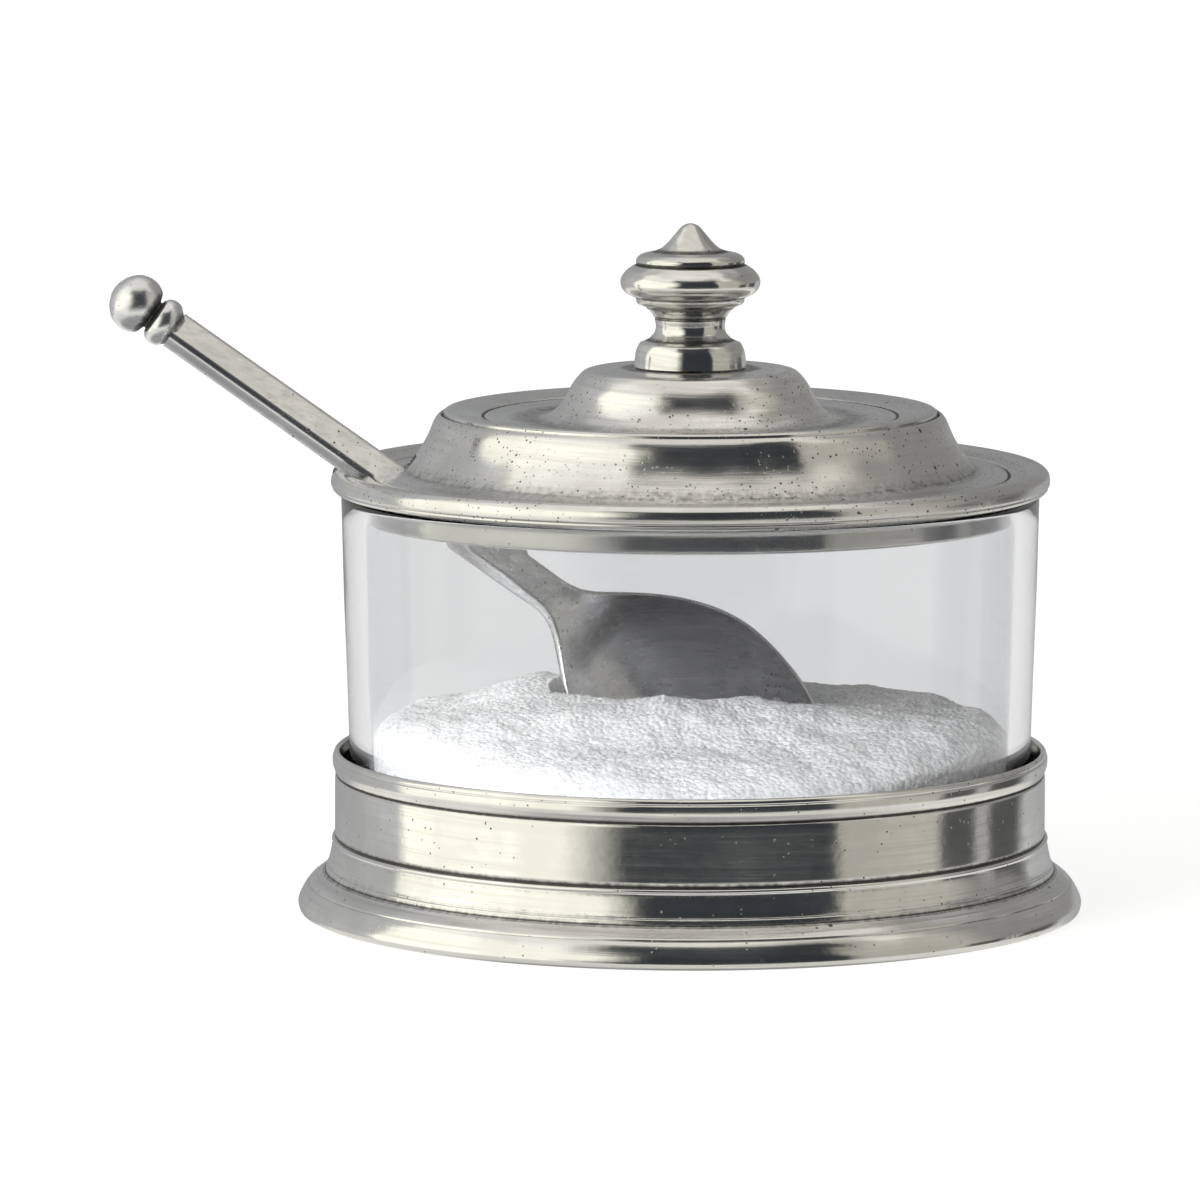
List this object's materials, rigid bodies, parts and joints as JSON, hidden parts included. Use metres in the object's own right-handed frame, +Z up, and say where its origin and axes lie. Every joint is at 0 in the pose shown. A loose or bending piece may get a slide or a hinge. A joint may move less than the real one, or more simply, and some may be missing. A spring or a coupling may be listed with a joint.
{
  "type": "sugar bowl",
  "caption": "Round sugar bowl with a turned pewter base, drop-in glass, notched lid with a finial, and a spoon whose handle leaves through the notch.",
  "frame": {"origin": "on the table, on the axis of the bowl, at the underside of the base floor", "axes": "+Z up along the bowl's axis; the spoon's handle leaves over the rim towards -X; the spoon's hollow side faces -Y"},
  "size_m": [0.1423, 0.115, 0.1003],
  "materials": {
    "pewter_base": "turned and hand-polished pewter with dark patina in the grooves",
    "pewter_floor": "dull unpolished pewter",
    "clear_glass": "clear thick glass",
    "sugar": "white granulated sugar",
    "pewter_lid": "turned pewter, lightly pitted and dented, with dark creases",
    "pewter_lid_ring": "turned pewter",
    "pewter_finial": "polished pewter with dark creases",
    "brass_screw": "plain brass",
    "brass_washer": "plain brass",
    "pewter_spoon": "cast pewter, polished, lightly pitted"
  },
  "bodies": {
    "base": {"base_ring": "pewter_base", "base_floor": "pewter_floor"},
    "glass": {"glass_liner": "clear_glass", "sugar_fill": "sugar"},
    "lid": {"lid_cover": "pewter_lid", "lid_locating_ring": "pewter_lid_ring", "finial_knob": "pewter_finial", "finial_screw": "brass_screw", "finial_washer": "brass_washer"},
    "spoon": {"spoon": "pewter_spoon"}
  },
  "joints": [
    {"name": "glass_lift", "type": "slide", "parent": "base", "child": "glass", "axis": [0, 0, 1], "range_m": [0, 0.06]},
    {"name": "lid_lift", "type": "slide", "parent": "glass", "child": "lid", "axis": [0, 0, 1], "range_m": [0, 0.08]},
    {"name": "spoon_tilt", "type": "hinge", "parent": "glass", "child": "spoon", "pos_m": [-0.0476, 0, 0.0613], "axis": [0, -1, 0], "range_deg": [0, 8]}
  ]
}
